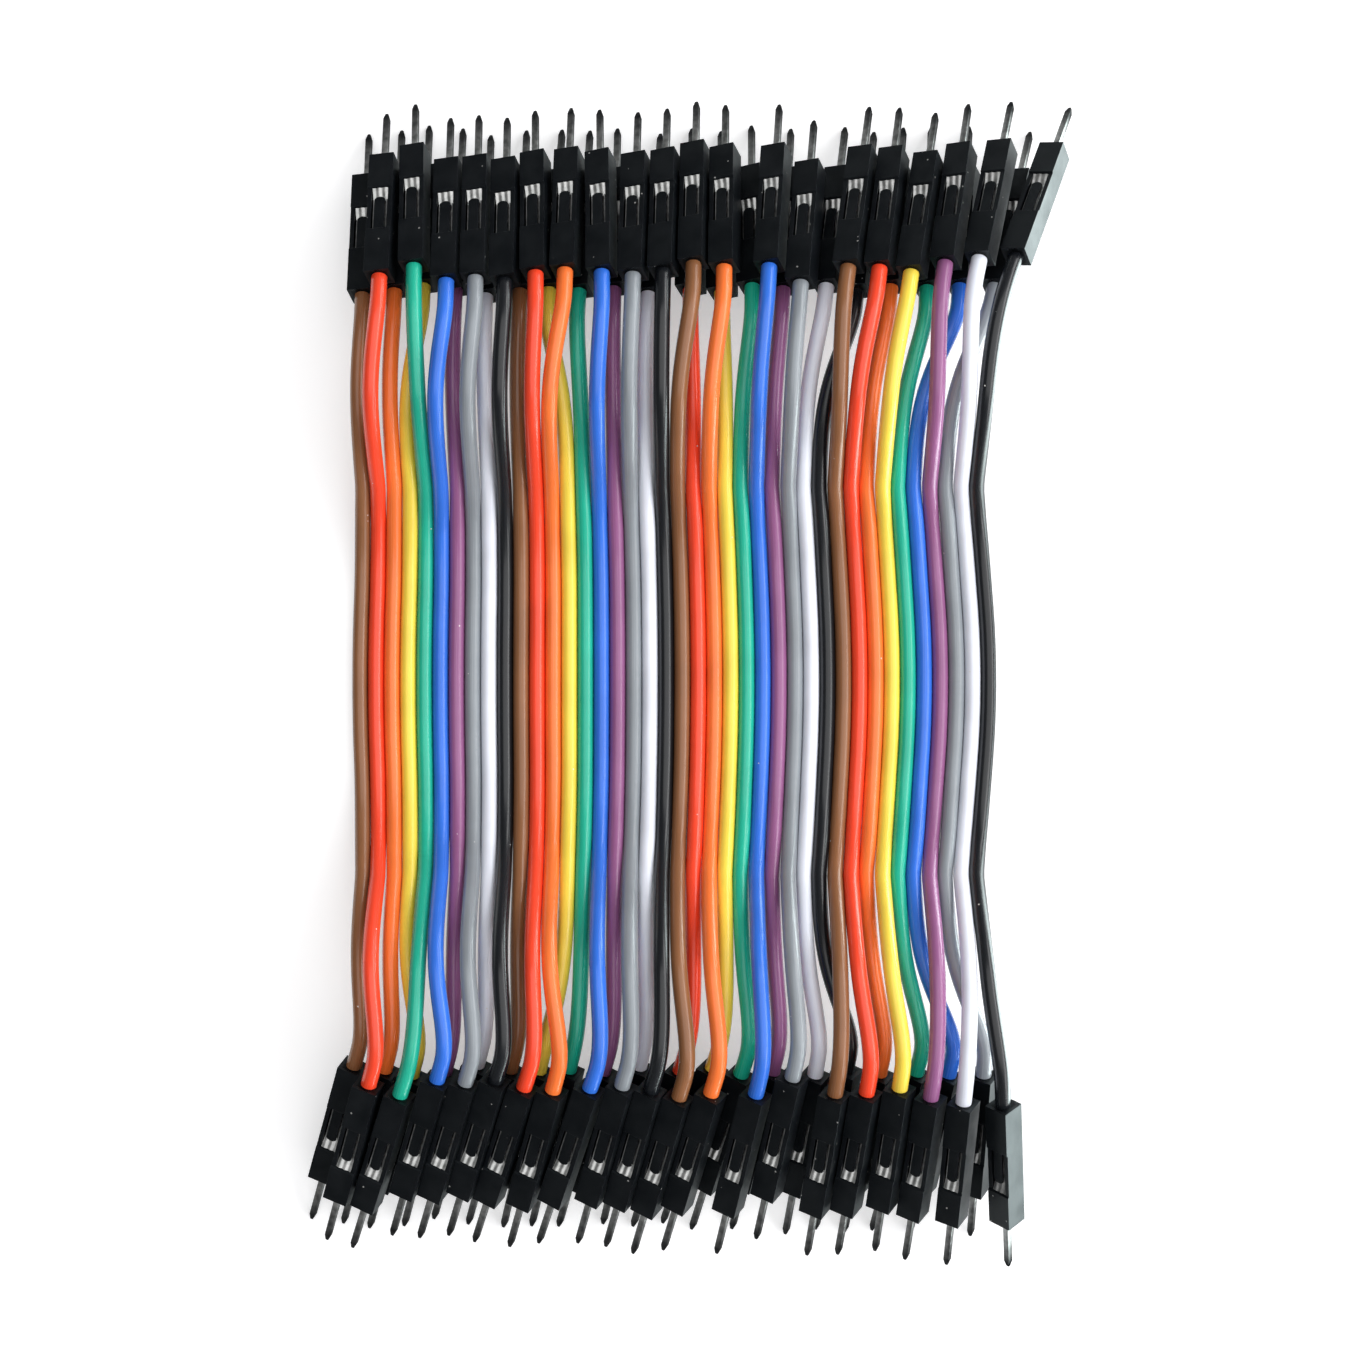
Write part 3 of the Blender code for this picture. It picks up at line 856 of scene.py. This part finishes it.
def add_pin(shape):
    """Square pin with softened edges and a blunt tip."""
    pin = bmesh.new()
    tip = HOUSING_LENGTH + PIN_LENGTH
    add_block(pin, PIN_WIDTH, cavity_end - 2 * PIN_WIDTH, tip - PIN_TAPER)
    front = max(pin.faces, key=lambda face: face.calc_center_median().y)
    ring = bmesh.ops.extrude_discrete_faces(pin, faces=[front])["faces"][0]
    bmesh.ops.translate(pin, vec=(0, PIN_TAPER, 0), verts=ring.verts)
    ratio = TIP_WIDTH / PIN_WIDTH
    bmesh.ops.scale(pin, vec=(ratio, 1, ratio), verts=ring.verts)
    bmesh.ops.recalc_face_normals(pin, faces=pin.faces)
    soften(pin, sharp_edges(pin, PIN_BEVELLED), PIN_EDGE, segments=2)
    join_in(shape, pin)


def join_in(shape, other):
    """Add the faces of another shape, which is then freed."""
    mesh = bpy.data.meshes.new("joined")
    other.to_mesh(mesh)
    other.free()
    shape.from_mesh(mesh)
    bpy.data.meshes.remove(mesh)


def terminal_mesh():
    """Crimp wings, body and pin, with the share of painted shade kept at each point."""
    shape = bmesh.new()
    add_wings(shape)
    add_body(shape)
    add_pin(shape)
    painted_shade = shape.verts.layers.float.new("painted_shade")
    # Painted shade: full from the nose wall out along the pin, partial behind the window
    for vert in shape.verts:
        if vert.co.y > cavity_end:
            vert[painted_shade] = 1.0
        elif vert.co.y < window_start:
            vert[painted_shade] = RAIL_PAINTED_SHADE
    return finished_mesh(shape, "terminal", SHEET_SHARP)


# Stage and light


def add_area_light(name, place, size, energy):
    """A rectangular lamp that aims at the middle of the ribbon."""
    data = bpy.data.lights.new(name, "AREA")
    data.shape = "RECTANGLE"
    data.size, data.size_y = size
    data.energy = energy
    lamp = bpy.data.objects.new(name, data)
    lamp.location = place
    lamp.rotation_euler = (-Vector(place)).to_track_quat("-Z", "Y").to_euler()
    bpy.context.scene.collection.objects.link(lamp)


def make_floor():
    """Plain white floor that keeps the shadow of the ribbon and glows to the right of it."""
    shape = bmesh.new()
    bmesh.ops.create_grid(shape, x_segments=1, y_segments=1, size=FLOOR_HALF_SIDE)
    mesh = bpy.data.meshes.new("floor")
    shape.to_mesh(mesh)
    shape.free()
    material, tree, shader = new_material("floor")
    shader.inputs["Base Color"].default_value = FLOOR_COLOUR
    shader.inputs["Roughness"].default_value = FLOOR_ROUGHNESS
    shader.inputs["Specular IOR Level"].default_value = FLOOR_SPECULAR
    place = add_node(tree, "ShaderNodeTexCoord").outputs["Object"]
    across = add_node(tree, "ShaderNodeSeparateXYZ", {0: place}).outputs["X"]
    seen = add_node(tree, "ShaderNodeLightPath")
    shine = math_node(tree, "MULTIPLY", seen.outputs["Is Glossy Ray"], GLOW_SHINE)
    full_glow = math_node(tree, "ADD", shine, GLOW_LEVEL)
    glow = map_range(tree, across, (GLOW_START, GLOW_FULL), (0.0, full_glow))
    direct = math_node(tree, "MAXIMUM", seen.outputs["Is Camera Ray"], seen.outputs["Is Glossy Ray"])
    direct = math_node(tree, "MAXIMUM", direct, seen.outputs["Is Transmission Ray"])
    lift = math_node(tree, "MULTIPLY", direct, SHADOW_LIFT)
    tree.links.new(math_node(tree, "ADD", lift, glow), shader.inputs["Emission Strength"])
    tint = mix_colour(tree, seen.outputs["Is Glossy Ray"], WHITE, GLOW_TINT)
    tree.links.new(tint, shader.inputs["Emission Color"])
    mesh.materials.append(material)
    floor = bpy.data.objects.new("floor", mesh)
    bpy.context.scene.collection.objects.link(floor)


def make_world():
    """Soft pale dome, brighter towards the right."""
    world = bpy.data.worlds.new("studio")
    world.use_nodes = True
    tree = world.node_tree
    direction = add_node(tree, "ShaderNodeTexCoord").outputs["Generated"]
    way = add_node(tree, "ShaderNodeSeparateXYZ", {0: direction})
    background = tree.nodes["Background"]
    strength = map_range(tree, way.outputs["X"], DOME_TURN, DOME_STRENGTH)
    tree.links.new(strength, background.inputs["Strength"])
    background.inputs["Color"].default_value = WHITE
    bpy.context.scene.world = world


def light_studio():
    add_area_light("key", **KEY_LIGHT)
    add_area_light("overhead", **OVERHEAD_LIGHT)


def dress_wire(number, matrices, shift, meshes, materials):
    """One wire with its two housings and terminals."""
    parted = number in SEPARATE_WIRES
    colour = list(WIRE_COLOURS)[(number - 1) % len(WIRE_COLOURS)]
    whole = f"wire_{number:02d}" if parted else f"jumper_{number:02d}"
    for end, matrix in matrices.items():
        placed = Matrix.Translation(shift) @ matrix
        tag = f"{number:02d}_{end}"
        housing_node = f"housing_{tag}" if parted else whole
        terminal_node = f"terminal_{tag}" if parted else whole
        add_piece(f"shell_{tag}", meshes["housing"], materials["housing"],
                              housing_node, placed)
        add_piece(f"contact_{tag}", meshes["terminal"], materials["terminal"],
                              terminal_node, placed)
    path = wire_route(number, matrices["top"], matrices["bottom"], shift)
    mesh = wire_mesh(f"lead_{number:02d}", number, path, shift)
    lead = add_piece(f"lead_{number:02d}", mesh, materials[colour], whole)


def build():
    tops = end_places(1)
    bottoms = end_places(-1)
    shift = frame_shift(tops[WIRE_COUNT])
    make_camera(shift)
    groups = {"dust": dust_group(), "grain": grain_group(), "streaks": streak_group()}
    materials = {name: insulation(name, colour, groups) for name, colour in WIRE_COLOURS.items()}
    materials["housing"] = housing_plastic(groups)
    materials["terminal"] = tin_plate(groups)
    meshes = {"housing": housing_mesh(), "terminal": terminal_mesh()}
    for number in range(1, WIRE_COUNT + 1):
        matrices = {"top": tops[number], "bottom": bottoms[number]}
        dress_wire(number, matrices, shift, meshes, materials)
    make_floor()
    make_world()
    light_studio()


build()
bpy.context.scene.view_settings.view_transform = "Standard"
